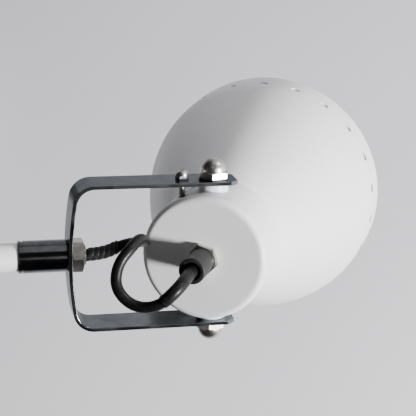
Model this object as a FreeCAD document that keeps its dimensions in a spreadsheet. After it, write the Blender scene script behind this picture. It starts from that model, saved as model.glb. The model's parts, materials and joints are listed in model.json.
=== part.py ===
import FreeCAD, Part
import math
import os

import Sketcher

# Swing arm desk lamp. Millimetres, +Z up, origin at the centre of the base's underside.
# The arms swing in the XZ plane, the head hangs out over +X and every hinge pin runs along Y.
# Each group of pieces is drawn in a frame of its own and placed by that frame:
#   lower frame   origin on the shoulder pin, +Z along the lower arm
#   upper frame   origin on the elbow pin, +Z along the upper arm
#   yoke frame    origin on the tilt pin, +X along the arm towards the head, +Y along the pin
#   head frame    origin on the tilt pin, +Z along the shade's axis, out of the back of the cup

V = FreeCAD.Vector
Y_AXIS = V(0, 1, 0)

DIMENSIONS = [
    # arms
    ("arm_slope", 26.5, "degrees the upper arm falls towards the head"),
    ("arm_lean", 8.0, "degrees the lower arm leans back"),
    ("shoulder_height", 72.0, "shoulder pin above the table"),
    ("lower_length", 440.0, "shoulder pin to elbow pin"),
    ("upper_length", 460.0, "elbow pin to tilt pin"),
    ("tube_dia", 13.0, "arm tube"),
    ("tube_wall", 1.0, "arm tube wall"),
    ("ferrule_dia", 15.0, "dark sleeve on each tube end"),
    ("ferrule_length", 22.0, "dark sleeve on each tube end"),
    ("ferrule_groove", 0.4, "depth of the groove behind the lip"),
    # hinges
    ("hinge_width", 16.0, "fork and tongue across the arm"),
    ("hinge_block", 22.0, "pin to the end of the tube"),
    ("cheek_wall", 4.0, "one cheek of a fork"),
    ("tongue_width", 7.0, "eye between the cheeks"),
    ("hinge_washer", 0.8, "friction washer beside the eye"),
    ("slot_floor", 16.5, "pin to the floor of the slot"),
    ("neck_width", 10.0, "tongue between its eye and its collar"),
    ("neck_start", 6.245, "pin to where the neck leaves the round eye"),
    ("collar_thick", 2.0, "round collar against the tube"),
    ("spigot_dia", 10.9, "plug inside the tube"),
    ("spigot_length", 16.0, "plug inside the tube"),
    ("lead_bore", 5.6, "way through for the lead"),
    ("lead_dia", 5.0, "lead and head cable"),
    ("pin_dia", 8.0, "stud through every hinge"),
    ("pin_gap", 0.05, "running clearance on a radius"),
    ("acorn_flats", 13.0, "acorn nut across flats"),
    ("acorn_hex", 3.4, "height of its hexagon"),
    ("acorn_dome", 5.8, "radius of its dome"),
    ("acorn_height", 9.8, "face to the top of the dome"),
    ("acorn_face_gap", 0.05, "running gap under a nut"),
    # base
    ("base_dia", 180.0, "cover"),
    ("base_rim", 11.0, "height where the cover's wall ends"),
    ("base_bend_dia", 164.0, "inside of the bend at the cover's edge"),
    ("base_bend_height", 19.0, "top of the bend"),
    ("base_top", 23.4, "top of the cover at its middle"),
    ("cover_wall", 1.2, "cover sheet"),
    ("inlet_height", 7.2, "lead inlet above the table"),
    ("inlet_dia", 6.0, "neck of the inlet bush"),
    ("pad_thick", 1.5, "rubber pad under the base"),
    ("plate_thick", 1.5, "steel plate above the pad"),
    ("weight_dia", 164.0, "cast weight"),
    ("weight_thick", 12.5, "cast weight"),
    ("stem_stud_dia", 10.0, "stud of the swivel stem"),
    ("collar_dia", 26.0, "swivel flange and bush"),
    ("bush_thick", 1.2, "plastic bush under the flange"),
    ("switch_x", 58.0, "push button from the middle"),
    ("button_dia", 14.0, "push button"),
    ("bezel_dia", 19.0, "ring round the button"),
    ("button_travel", 2.5, "push button"),
    # yoke
    ("strip_thick", 1.8, "bracket strip"),
    ("strip_width", 19.5, "bracket strip"),
    ("yoke_half", 34.35, "pin line to the outside of a leg"),
    ("yoke_length", 66.0, "tilt pin to the outside corner of the web"),
    ("yoke_bow", 1.9, "how far the web bows out"),
    ("yoke_corner", 10.0, "outer radius of a corner"),
    ("leg_tip", 10.2, "tilt pin to the leg's end"),
    ("tip_chamfer", 3.8, "cut corner of the leg's end"),
    ("strip_round", 0.35, "rounded edges of the rolled strip"),
    ("nipple_dia", 9.9, "hollow nipple through the web"),
    ("web_hole_dia", 10.0, "hole in the web"),
    ("yoke_nut_flats", 14.0, "nut on the nipple"),
    ("yoke_nut_thick", 5.4, "nut on the nipple"),
    ("stop_radius", 14.7, "stop screw from the tilt pin"),
    ("stop_dia", 3.0, "stop screw"),
    ("stop_head_dia", 5.8, "stop screw"),
    ("stop_head_high", 2.4, "stop screw"),
    ("stop_nut_flats", 5.6, "lock nut under the stop screw's head"),
    ("stop_nut_thick", 1.7, "lock nut under the stop screw's head"),
    ("stop_depth", 24.3, "inner end of the stop screw from the middle"),
    ("stop_slot", 3.6, "width of the slot it runs in"),
    ("slot_back", 18.5, "degrees from the stop screw to one end of the slot"),
    ("slot_front", 61.5, "degrees from the stop screw to the other end"),
    # head
    ("cup_dia", 58.5, "lampholder cup"),
    ("cup_wall", 0.8, "cup sheet"),
    ("cup_back", 16.5, "tilt pin to the back face"),
    ("cup_front", 18.0, "tilt pin to the shade's neck"),
    ("cup_round", 3.0, "outer radius of the back edge"),
    ("seam_groove", 0.35, "broken edge of the cup where it meets the shade"),
    ("shade_wall", 0.9, "shade sheet"),
    ("shade_rim_dia", 125.8, "mouth of the shade"),
    ("shade_rim", 131.0, "tilt pin to the mouth"),
    ("shade_skirt", 118.5, "tilt pin to the top of the skirt"),
    ("shade_skirt_dia", 125.0, "outside at the top of the skirt"),
    ("shade_shoulder", 100.0, "tilt pin to the shoulder"),
    ("shade_shoulder_dia", 119.7, "outside at the shoulder"),
    ("bell_radius", 458.0, "curve of the bell"),
    ("shoulder_radius", 80.0, "curve of the shoulder"),
    ("vent_height", 113.0, "tilt pin to the ring of holes"),
    ("vent_dia", 4.8, "vent hole"),
    ("vent_count", 22, "vent holes"),
    ("washer_dia", 14.0, "plastic washer between leg and cup"),
    ("gland_dia", 12.0, "cable gland"),
    ("gland_flats", 13.0, "lock nut under the gland"),
    ("gland_nut", 3.2, "lock nut under the gland"),
    ("gland_mouth", 37.3, "tilt pin to the mouth of the gland"),
    ("sleeve_dia", 6.4, "ribbed sleeve on the cable"),
    ("boot_dia", 5.8, "smooth boot at the gland"),
    ("boot_length", 32.0, "cable's end in the gland to the boot's far end"),
    ("sleeve_length", 14.5, "nut to the ribbed sleeve's far end"),
    ("holder_dia", 39.0, "lampholder"),
    ("bulb_dia", 60.0, "light bulb"),
]

# Route of the head cable from the nipple's mouth to the floor of the gland's mouth, in the yoke
# frame: out along the arm, up and back in a tight bight, then once round a loose loop.
CABLE_ROUTE = [
    (-59.0, 0.0, 0.0),
    (-51.5, 0.0, 0.0),
    (-42.0, 4.5, 1.0),
    (-34.5, 7.5, 8.0),
    (-34.0, 10.0, 18.0),
    (-38.5, 14.5, 26.5),
    (-43.0, 13.0, 34.0),
    (-50.0, 6.0, 37.0),
    (-51.5, -4.0, 40.0),
    (-44.0, -11.5, 44.0),
    (-34.0, -10.0, 49.5),
    (-25.0, -1.5, 49.5),
    (-19.5, 0.0, 39.1),
    (-14.42, 0.0, 28.92),
]

doc = FreeCAD.newDocument("SwingArmDeskLamp")
sheet = doc.addObject("Spreadsheet::Sheet", "Dimensions")
for row, (alias, amount, note) in enumerate(DIMENSIONS, 1):
    sheet.set("A%d" % row, alias)
    sheet.set("B%d" % row, str(amount))
    sheet.set("C%d" % row, note)
    sheet.setAlias("B%d" % row, alias)
doc.recompute()
NAMES = {alias for alias, _, _ in DIMENSIONS}
NODES = []


# ---- sizes -------------------------------------------------------------------------------


def number(text):
    """Value of names and numbers joined by + - * /, with a space on both sides of each."""
    total = 0.0
    sign = 1.0
    term = None
    operator = "*"
    for word in str(text).split():
        if word in ("*", "/"):
            operator = word
        elif word in ("+", "-"):
            total += sign * (term or 0.0)
            sign = 1.0 if word == "+" else -1.0
            term = None
        else:
            amount = float(sheet.get(word)) if word in NAMES else float(word)
            if term is None:
                term = amount
            else:
                term = term * amount if operator == "*" else term / amount
    return total + sign * term


def formula(text):
    """The same words as an expression that reads the sheet."""
    words = str(text).split()
    return " ".join("Dimensions." + word if word in NAMES else word for word in words)


def half(text):
    """Half of a sum of names and numbers, with each of its terms halved."""
    words = []
    for word in text.split():
        if word in ("+", "-") and words:
            words += ["/", "2"]
        words.append(word)
    return " ".join(words + ["/", "2"])


def bind(item, prop, text):
    item.setExpression(prop, formula(text))


# ---- small builders ----------------------------------------------------------------------


def frame(x, y, z, axis=Y_AXIS, angle=0.0):
    return FreeCAD.Placement(V(x, y, z), FreeCAD.Rotation(axis, angle))


def origin_plane(body, role):
    return next(item for item in body.Origin.OriginFeatures if item.Role == role)


def new_sketch(body, role):
    sketch = body.newObject("Sketcher::SketchObject", "Sketch")
    sketch.AttachmentSupport = [(origin_plane(body, role), "")]
    sketch.MapMode = "FlatFace"
    return sketch


def pin(sketch, item, end, kind, text):
    """Ties one coordinate of a point to the sheet."""
    if text == "0":
        axis = -2 if kind == "DistanceX" else -1
        sketch.addConstraint(Sketcher.Constraint("PointOnObject", item, end, axis))
        return
    rule = Sketcher.Constraint(kind, -1, 1, item, end, number(text))
    index = sketch.addConstraint(rule)
    bind(sketch, "Constraints[%d]" % index, text)


def arc_middle(start, end, radius, side):
    """Middle of the arc from start to end. Side is 1 where it bulges to the right, or -1."""
    chord = end - start
    rise = radius - math.sqrt(radius**2 - (chord.Length / 2) ** 2)
    return (start + end) / 2 + V(chord.y, -chord.x, 0).normalize() * (rise * side)


def add_edge(sketch, start, end, radius):
    """Adds a line, or an arc where there is a radius. Returns its number and its two ends."""
    if radius is None:
        return sketch.addGeometry(Part.LineSegment(start, end)), 1, 2
    side = -1 if radius.startswith("left ") else 1
    text = radius.removeprefix("left ")
    middle = arc_middle(start, end, number(text), side)
    item = sketch.addGeometry(Part.Arc(start, middle, end))
    index = sketch.addConstraint(Sketcher.Constraint("Radius", item, number(text)))
    bind(sketch, "Constraints[%d]" % index, text)
    if sketch.getPoint(item, 1).distanceToPoint(start) < 1e-6:
        return item, 1, 2
    return item, 2, 1


def outline(body, role, corners):
    """Closed outline. A corner is (x, y), or (x, y, radius) where an arc leaves it.

    The arc bulges to the right of the way round, or to the left where its text says so.
    """
    sketch = new_sketch(body, role)
    points = [V(number(corner[0]), number(corner[1]), 0) for corner in corners]
    edges = []
    for index, corner in enumerate(corners):
        after = points[(index + 1) % len(points)]
        radius = corner[2] if len(corner) > 2 else None
        edges.append(add_edge(sketch, points[index], after, radius))
    for (item, _, last), (follower, first, _) in zip(edges, edges[1:] + edges[:1]):
        sketch.addConstraint(Sketcher.Constraint("Coincident", item, last, follower, first))
    for (item, first, _), corner in zip(edges, corners):
        pin(sketch, item, first, "DistanceX", corner[0])
        pin(sketch, item, first, "DistanceY", corner[1])
    return sketch


def ring_of(body, role, x, y, diameter):
    """A sketch of one circle."""
    sketch = new_sketch(body, role)
    centre = V(number(x), number(y), 0)
    item = sketch.addGeometry(Part.Circle(centre, V(0, 0, 1), number(diameter) / 2))
    index = sketch.addConstraint(Sketcher.Constraint("Diameter", item, number(diameter)))
    bind(sketch, "Constraints[%d]" % index, diameter)
    pin(sketch, item, 3, "DistanceX", x)
    pin(sketch, item, 3, "DistanceY", y)
    return sketch


def turned(name, corners):
    """A piece turned about its own Z from an outline of (radius, height) corners."""
    body = doc.addObject("PartDesign::Body", name)
    turn = body.newObject("PartDesign::Revolution", "Turn")
    turn.Profile = outline(body, "XZ_Plane", corners)
    turn.ReferenceAxis = (turn.Profile[0], ["V_Axis"])
    turn.Angle = 360
    return body


def tube(name, inner, outer, low, high):
    """A plain ring or tube. An inner diameter of 0 makes a disc or rod."""
    if inner == "0":
        return turned(name, [("0", low), (half(outer), low), (half(outer), high), ("0", high)])
    bore = half(inner)
    wall = half(outer)
    return turned(name, [(bore, low), (wall, low), (wall, high), (bore, high)])


def padded(name, role, corners, length):
    """An outline padded evenly to both sides of its plane."""
    body = doc.addObject("PartDesign::Body", name)
    pad = body.newObject("PartDesign::Pad", "Pad")
    pad.Profile = outline(body, role, corners)
    bind(pad, "Length", length)
    pad.Midplane = True
    return body


def pocket(body, sketch):
    """Cuts a sketch right through, both ways, and makes sure that it removed something."""
    doc.recompute()
    before = body.Shape.Volume
    cut = body.newObject("PartDesign::Pocket", "Pocket")
    cut.Profile = sketch
    cut.Type = 1
    cut.Midplane = True
    doc.recompute()
    if body.Shape.Volume > before - 0.01:
        raise RuntimeError("a pocket in %s cuts nothing" % body.Label)


def rod(name, diameter, length, placement):
    item = doc.addObject("Part::Cylinder", name)
    bind(item, "Radius", half(diameter))
    bind(item, "Height", length)
    item.Placement = placement
    return item


def block(name, length, width, height, placement):
    item = doc.addObject("Part::Box", name)
    bind(item, "Length", length)
    bind(item, "Width", width)
    bind(item, "Height", height)
    item.Placement = placement
    return item


def combine(kind, name, base, tool):
    """kind is Cut, Fuse or Common."""
    item = doc.addObject("Part::" + kind, name)
    item.Base = base
    item.Tool = tool
    return item


def mirrored_pair(name, item):
    """The piece and its mirror image across the XZ plane, as two separate solids."""
    mirror = doc.addObject("Part::Mirroring", name + "_mirror")
    mirror.Source = item
    mirror.Normal = Y_AXIS
    pair = doc.addObject("Part::Compound", name + "_pair")
    pair.Links = [item, mirror]
    return pair


def node(item, label, placement):
    """Names a finished piece and puts it in its place."""
    item.Label = label
    item.Placement = placement
    NODES.append(item)


def hexagon(name, flats, height, bore):
    """A hexagon nut on Z from 0 to height, with its corners turned off at both faces."""
    prism = doc.addObject("Part::Prism", name + "_hexagon")
    prism.Polygon = 6
    bind(prism, "Circumradius", flats + " / 2 / 0.866025")
    bind(prism, "Height", height)
    corner = flats + " / 2 / 0.866"
    flat = flats + " / 2 * 0.98"
    slope = flats + " / 24"
    shape = [
        (half(bore), "0"),
        (flat, "0"),
        (corner, slope),
        (corner, height + " - " + slope),
        (flat, height),
        (half(bore), height),
    ]
    return combine("Common", name + "_nut", prism, turned(name + "_barrel", shape))


# ---- frames ------------------------------------------------------------------------------

ORIGIN = frame(0, 0, 0)
SHOULDER = frame(0, 0, number("shoulder_height"))
LOWER = frame(0, 0, number("shoulder_height"), angle=-number("arm_lean"))
ELBOW = LOWER.multVec(V(0, 0, number("lower_length")))
UPPER = frame(*ELBOW, angle=90 + number("arm_slope"))
TILT = UPPER.multVec(V(0, 0, number("upper_length")))
YOKE = frame(*TILT, angle=number("arm_slope"))
HEAD = frame(*TILT)
TURN_OVER = FreeCAD.Rotation(V(1, 0, 0), 180)
ALONG_Y = FreeCAD.Rotation(V(1, 0, 0), -90)


def along(group, height, turned_over=False):
    """A place on a group's own Z axis, facing up it or turned over."""
    rotation = TURN_OVER if turned_over else FreeCAD.Rotation()
    return group.multiply(FreeCAD.Placement(V(0, 0, height), rotation))


# ---- base --------------------------------------------------------------------------------


def base_cover():
    rim = "pad_thick + plate_thick"
    cover = turned("cover", [
        ("base_dia / 2", rim),
        ("base_dia / 2", "base_rim", "8.05"),
        ("base_bend_dia / 2", "base_bend_height"),
        ("stem_stud_dia / 2 + pin_gap", "base_top"),
        ("stem_stud_dia / 2 + pin_gap", "base_top - cover_wall"),
        ("base_bend_dia / 2 - cover_wall / 4", "base_bend_height - cover_wall", "left 7.2"),
        ("base_dia / 2 - cover_wall", "base_rim"),
        ("base_dia / 2 - cover_wall", rim),
    ])
    pocket(cover, ring_of(cover, "XY_Plane", "switch_x", "0", "button_dia + 1.4"))
    inlet_place = frame(-number("base_dia") / 2 - 5, 0, number("inlet_height"), Y_AXIS, 90)
    inlet_hole = rod("inlet_hole", "inlet_dia + 0.1", "12", inlet_place)
    node(combine("Cut", "cover_cut", cover, inlet_hole), "base_cover", ORIGIN)


def base_inside():
    node(tube("pad", "0", "weight_dia + 8", "0", "pad_thick"), "base_pad", ORIGIN)
    low = "pad_thick"
    high = "pad_thick + plate_thick"
    plate = tube("plate", "0", "weight_dia + 11", low, high)
    weight = turned("weight", [
        ("14", high),
        ("weight_dia / 2", high),
        ("weight_dia / 2", high + " + weight_thick - 6"),
        ("weight_dia / 2 - 6", high + " + weight_thick"),
        ("14", high + " + weight_thick"),
    ])
    pocket(weight, ring_of(weight, "XY_Plane", "switch_x", "0", "bezel_dia + 3"))
    way_corner = frame(-number("weight_dia") / 2 - 2, -4.5, 5)
    way = block("lead_way", "weight_dia / 2", "9", "weight_thick", way_corner)
    slotted = combine("Cut", "weight_slotted", weight, way)
    holes = base_screws_at("hole", "4.1", "8.2")
    node(combine("Cut", "plate_cut", plate, holes), "base_plate", ORIGIN)
    holes = base_screws_at("thread", "4.0", "8.2")
    node(combine("Cut", "weight_cut", slotted, holes), "base_weight", ORIGIN)
    node(base_screws_at("screw", "4.0", "8.0"), "base_screws", ORIGIN)


def base_screws_at(name, shank, head):
    """Three countersunk screws, or the same three holes, round the base."""
    screws = []
    for index in range(3):
        screw = turned("%s_%d" % (name, index), [
            ("0", "pad_thick"),
            (head + " / 2", "pad_thick"),
            (shank + " / 2", "pad_thick + plate_thick"),
            (shank + " / 2", "11"),
            ("0", "11"),
        ])
        angle = math.radians(60 + 120 * index)
        screw.Placement = frame(62 * math.cos(angle), 62 * math.sin(angle), 0)
        screws.append(screw)
    group = doc.addObject("Part::Compound", name + "_group")
    group.Links = screws
    return group


def mains_inlet():
    """Rubber bush in the back of the cover, where a lead would come in."""
    bush = turned("inlet", [
        ("2.1", "0"),
        ("3.6", "0"),
        ("4.2", "0.6"),
        ("4.2", "1.8"),
        ("inlet_dia / 2", "1.8"),
        ("inlet_dia / 2", "cover_wall + 2.2"),
        ("3.9", "cover_wall + 2.2"),
        ("3.4", "cover_wall + 3.4"),
        ("2.1", "cover_wall + 3.4"),
    ])
    node(bush, "mains_inlet", frame(-number("base_dia") / 2 - 1.9, 0, number("inlet_height"), Y_AXIS, 90))


def switch():
    """Push button, its ring, housing and spring, square to the slope of the cover."""
    button = turned("button", [
        ("0", "-6"),
        ("button_dia / 2 - 0.25", "-6"),
        ("button_dia / 2 - 0.25", "button_travel + 1.5", "1.0"),
        ("button_dia / 2 - 1.25", "button_travel + 2.5"),
        ("1.5", "button_travel + 3"),
        ("0", "button_travel + 3"),
    ])
    bezel = turned("bezel", [
        ("button_dia / 2", "-2.2"),
        ("button_dia / 2 + 0.3", "-2.2"),
        ("button_dia / 2 + 0.3", "0"),
        ("bezel_dia / 2", "0"),
        ("bezel_dia / 2", "0.9"),
        ("bezel_dia / 2 - 1.2", "1.9"),
        ("button_dia / 2", "1.9"),
    ])
    housing = turned("housing", [
        ("0", "-14.5"),
        ("bezel_dia / 2", "-14.5"),
        ("bezel_dia / 2", "-2.3"),
        ("button_dia / 2", "-2.3"),
        ("button_dia / 2", "-12.8"),
        ("0", "-12.8"),
    ])
    spring = tube("spring", "7", "8.6", "-12.7", "-6.1")
    run = number("base_bend_dia / 2 - stem_stud_dia / 2 - pin_gap")
    rise = number("base_top - base_bend_height")
    out = number("base_bend_dia / 2 - switch_x")
    surface = number("base_bend_height") + rise * out / run
    slope = math.degrees(math.atan2(rise, run))
    here = frame(number("switch_x"), 0, surface + 0.08, Y_AXIS, slope)
    print("switch at height %.2f, slope %.2f degrees" % (surface, slope))
    node(button, "switch_button", here)
    node(bezel, "switch_bezel", here)
    node(housing, "switch_housing", here)
    node(spring, "switch_spring", here)


def swivel_stem():
    """Flange, column and threaded stud in one turned piece. It carries the shoulder fork."""
    flange = "base_top + bush_thick"
    bush = tube("bush", "stem_stud_dia + pin_gap * 2", "collar_dia", "base_top", flange)
    node(bush, "swivel_bush", ORIGIN)
    top = "shoulder_height - hinge_block"
    stem = turned("stem", [
        ("lead_bore / 2", "12"),
        ("stem_stud_dia / 2", "12"),
        ("stem_stud_dia / 2", flange),
        ("collar_dia / 2", flange),
        ("collar_dia / 2", flange + " + 2.4", "1.2"),
        ("collar_dia / 2 - 1.2", flange + " + 3.6"),
        ("ferrule_dia / 2 + 2", flange + " + 3.6", "left 2.4"),
        ("ferrule_dia / 2", flange + " + 6"),
        ("ferrule_dia / 2", top),
        ("lead_bore / 2", top),
    ])
    node(stem, "swivel_stem", ORIGIN)
    low = "base_top - cover_wall - 1.8"
    washer = tube("stem_washer", "stem_stud_dia + 0.2", "22", low, low + " + 1.2")
    node(washer, "swivel_washer", ORIGIN)
    nut = hexagon("stem", "17", "5", "stem_stud_dia")
    node(nut, "swivel_nut", frame(0, 0, number(low) - 5.1))


# ---- hinges ------------------------------------------------------------------------------


def spigot(name, fused_to, side):
    """Adds the plug that goes inside the tube, then the way through for the lead."""
    low = number("hinge_block") - 1 if side > 0 else -number("hinge_block + spigot_length")
    plug = rod(name + "_spigot", "spigot_dia", "spigot_length + 1", frame(0, 0, low))
    whole = combine("Fuse", name + "_whole", fused_to, plug)
    low = number("slot_floor") - 2 if side > 0 else -number("hinge_block + spigot_length") - 1
    way = rod(name + "_way", "lead_bore", "hinge_block + spigot_length - slot_floor + 3", frame(0, 0, low))
    return combine("Cut", name + "_bored", whole, way)


def fork(label, placement, with_spigot):
    """Two cheeks with the pin at the origin. The arm leaves it along -Z."""
    half = "hinge_width / 2"
    width = "tongue_width + hinge_washer * 2 + cheek_wall * 2"
    cheeks = padded(label + "_blank", "XZ_Plane", [
        ("- 1 * " + half, "0 - hinge_block"),
        (half, "0 - hinge_block"),
        (half, "0", half),
        ("0", half, half),
        ("- 1 * " + half, "0"),
    ], width)
    low = frame(0, 0, -number("hinge_block"))
    barrel = rod(label + "_barrel", "hinge_width + 3.4", "hinge_block + hinge_width", low)
    piece = combine("Common", label + "_round", cheeks, barrel)
    if with_spigot:
        piece = spigot(label, piece, -1)
    else:
        way = rod(label + "_way", "lead_bore", "hinge_block", frame(0, 0, -number("hinge_block") - 1))
        piece = combine("Cut", label + "_bored", piece, way)
    gap = "tongue_width + hinge_washer * 2"
    corner = frame(-20, -number(gap) / 2, -number("slot_floor"))
    slotted = combine("Cut", label + "_slotted", piece, block(label + "_slot", "40", gap, "40", corner))
    hole = rod(label + "_hole", "pin_dia", "60", FreeCAD.Placement(V(0, -30, 0), ALONG_Y))
    node(combine("Cut", label + "_piece", slotted, hole), label, placement)


def tongue(label, placement):
    """One eye with the pin at the origin. The arm leaves it along +Z."""
    half = "hinge_width / 2"
    neck = "neck_width / 2"
    eye = padded(label + "_eye", "XZ_Plane", [
        ("- 1 * " + neck, "neck_start", "left " + half),
        ("- 1 * " + half, "0", "left " + half),
        ("0", "- 1 * " + half, "left " + half),
        (half, "0", "left " + half),
        (neck, "neck_start"),
        (neck, "hinge_block"),
        ("- 1 * " + neck, "hinge_block"),
    ], "tongue_width")
    low = number("hinge_block - collar_thick")
    collar = rod(label + "_collar", "ferrule_dia", "collar_thick", frame(0, 0, low))
    piece = spigot(label, combine("Fuse", label + "_neck", eye, collar), 1)
    hole = rod(label + "_hole", "pin_dia + pin_gap * 2", "60", FreeCAD.Placement(V(0, -30, 0), ALONG_Y))
    node(combine("Cut", label + "_piece", piece, hole), label, placement)


def acorn_pair(name, face, gap, turn=0):
    """Two acorn nuts, turned about a pin along Y, with their flat faces towards each other."""
    hexagonal = hexagon(name, "acorn_flats", "acorn_hex", "pin_dia")
    dome = turned(name + "_dome", [
        ("pin_dia / 2", "acorn_hex - 0.4"),
        ("acorn_dome", "acorn_hex - 0.4"),
        ("acorn_dome", "acorn_height - acorn_dome", "acorn_dome"),
        ("0", "acorn_height"),
        ("0", "acorn_height - 1.4"),
        ("pin_dia / 2", "acorn_height - 2.6"),
    ])
    nut = combine("Fuse", name + "_acorn", hexagonal, dome)
    tightened = FreeCAD.Rotation(Y_AXIS, turn).multiply(ALONG_Y)
    nut.Placement = FreeCAD.Placement(V(0, number(face) + number(gap), 0), tightened)
    return mirrored_pair(name, nut)


def hinge_hardware(name, placement):
    """Pin, friction washers and acorn nuts of the shoulder or the elbow."""
    cheek = "tongue_width / 2 + hinge_washer + cheek_wall"
    high = cheek + " + acorn_height - 3"
    low = "0 - tongue_width / 2 - hinge_washer - cheek_wall - acorn_height + 3"
    stud = turned(name + "_stud", [("0", low), ("pin_dia / 2", low), ("pin_dia / 2", high), ("0", high)])
    stud.Placement = FreeCAD.Placement(V(0, 0, 0), ALONG_Y)
    node(wrapped(name + "_stud_in_place", [stud]), name + "_pin", placement)
    node(acorn_pair(name, cheek, "0"), name + "_acorn_nuts", placement)
    bore = "pin_dia + pin_gap * 2"
    washer = tube(name + "_washer", bore, "hinge_width - 0.4", "0.05", "hinge_washer - 0.05")
    washer.Placement = FreeCAD.Placement(V(0, number("tongue_width") / 2, 0), ALONG_Y)
    node(mirrored_pair(name + "_washer", washer), name + "_washers", placement)


def wrapped(name, items):
    """A compound, so that pieces that already have a place can be placed again as one."""
    group = doc.addObject("Part::Compound", name)
    group.Links = items
    return group


# ---- arms --------------------------------------------------------------------------------


def ferrule(label, placement, end_wall):
    """Dark sleeve over a tube end, from its hinge end up to its lip on the tube."""
    radius = "ferrule_dia / 2"
    groove = "ferrule_dia / 2 - ferrule_groove"
    corners = [
        (radius + " - 0.4", "0"),
        (radius, "0.4"),
        (radius, "ferrule_length - 2.2"),
        (groove, "ferrule_length - 2.2"),
        (groove, "ferrule_length - 1.4"),
        (radius, "ferrule_length - 1.4"),
        (radius, "ferrule_length - 0.3"),
        (radius + " - 0.3", "ferrule_length"),
        ("tube_dia / 2", "ferrule_length"),
    ]
    if end_wall:
        corners += [("tube_dia / 2", "5"), ("nipple_dia / 2", "5"), ("nipple_dia / 2", "0")]
    else:
        corners += [("tube_dia / 2", "0")]
    node(turned(label + "_turned", corners), label, placement)


def arms():
    block_length = number("hinge_block")
    lower = number("lower_length")
    bore = "tube_dia - tube_wall * 2"
    tube_end = "lower_length - hinge_block"
    node(tube("lower_tube", bore, "tube_dia", "hinge_block", tube_end), "lower_arm_tube", LOWER)
    ferrule("shoulder_ferrule", along(LOWER, block_length), False)
    ferrule("elbow_lower_ferrule", along(LOWER, lower - block_length, True), False)
    lead_low = "hinge_block + spigot_length + 1"
    lead_high = "lower_length - hinge_block - spigot_length - 1"
    node(tube("lower_lead", "0", "lead_dia", lead_low, lead_high), "lower_arm_lead", LOWER)

    web_face = number("upper_length - yoke_length - yoke_bow") - 0.1
    tube_end = "upper_length - yoke_length - yoke_bow - 5.1"
    node(tube("upper_tube", bore, "tube_dia", "hinge_block", tube_end), "upper_arm_tube", UPPER)
    ferrule("elbow_upper_ferrule", along(UPPER, block_length), False)
    ferrule("head_end_ferrule", along(UPPER, web_face, True), True)
    nipple_end = "upper_length + " + "%.1f" % CABLE_ROUTE[0][0]
    nipple = tube("nipple", "lead_bore + 0.8", "nipple_dia", tube_end + " - 3", nipple_end + " - 0.5")
    node(nipple, "swivel_nipple", UPPER)
    node(tube("upper_lead", "0", "lead_dia", lead_low, nipple_end), "upper_arm_lead", UPPER)


# ---- yoke --------------------------------------------------------------------------------


def yoke_bracket():
    """Flat strip bent to a U. The web bows out a little and runs smoothly into its corners."""
    across = number("yoke_half - yoke_corner")
    slope = 2 * math.atan(number("yoke_bow") / across)
    legs = "0 - yoke_length + yoke_corner"
    inner_bend = number("yoke_corner - strip_thick")
    bow = across / math.sin(slope) + number("yoke_corner")

    def corner_start(bend):
        x = number(legs) - bend * math.cos(slope)
        return "%.4f" % x, "%.4f" % (across + bend * math.sin(slope))

    outer_x, outer_y = corner_start(number("yoke_corner"))
    inner_x, inner_y = corner_start(inner_bend)
    bracket = padded("bracket", "XY_Plane", [
        ("leg_tip", "yoke_half"),
        (legs, "yoke_half", "yoke_corner"),
        (outer_x, outer_y, "%.4f" % bow),
        (outer_x, "-" + outer_y, "yoke_corner"),
        (legs, "0 - yoke_half"),
        ("leg_tip", "0 - yoke_half"),
        ("leg_tip", "0 - yoke_half + strip_thick"),
        (legs, "0 - yoke_half + strip_thick", "left yoke_corner - strip_thick"),
        (inner_x, "-" + inner_y, "left %.4f" % (bow - number("strip_thick"))),
        (inner_x, inner_y, "left yoke_corner - strip_thick"),
        (legs, "yoke_half - strip_thick"),
        ("leg_tip", "yoke_half - strip_thick"),
    ], "strip_width")
    round_strip_edges(bracket)
    pocket(bracket, ring_of(bracket, "XZ_Plane", "0", "0", "pin_dia + pin_gap * 2"))
    pocket(bracket, ring_of(bracket, "YZ_Plane", "0", "0", "web_hole_dia"))
    hole = rod("stop_hole", "stop_dia", "40", FreeCAD.Placement(V(-number("stop_radius"), 5, 0), ALONG_Y))
    cutters = wrapped("bracket_cutters", [hole, tip_cutter("upper", 1), tip_cutter("lower", -1)])
    node(combine("Cut", "bracket_cut", bracket, cutters), "yoke_bracket", YOKE)


def round_strip_edges(bracket):
    """Rounds the long edges of the legs and of the web, on the outside and on the inside."""
    doc.recompute()
    pad = bracket.Tip
    found = []
    for index, edge in enumerate(pad.Shape.Edges, 1):
        heights = [vertex.Point.z for vertex in edge.Vertexes]
        level = max(heights) - min(heights) < 0.01
        if level and edge.Length > number("strip_thick") + 0.1:
            found.append("Edge%d" % index)
    rounding = bracket.newObject("PartDesign::Fillet", "StripRound")
    rounding.Base = (pad, found)
    bind(rounding, "Radius", "strip_round")


def tip_cutter(name, side):
    """Block that cuts one corner off the ends of both legs, on the side of +Z or -Z."""
    corner = number("tip_chamfer") / 2
    middle = V(number("leg_tip") - corner, -40, side * (number("strip_width") / 2 - corner))
    turn = FreeCAD.Rotation(Y_AXIS, -45 * side)
    start = middle + turn.multVec(V(0, 0, -10))
    return block(name + "_tip_cutter", "20", "80", "20", FreeCAD.Placement(start, turn))


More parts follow.
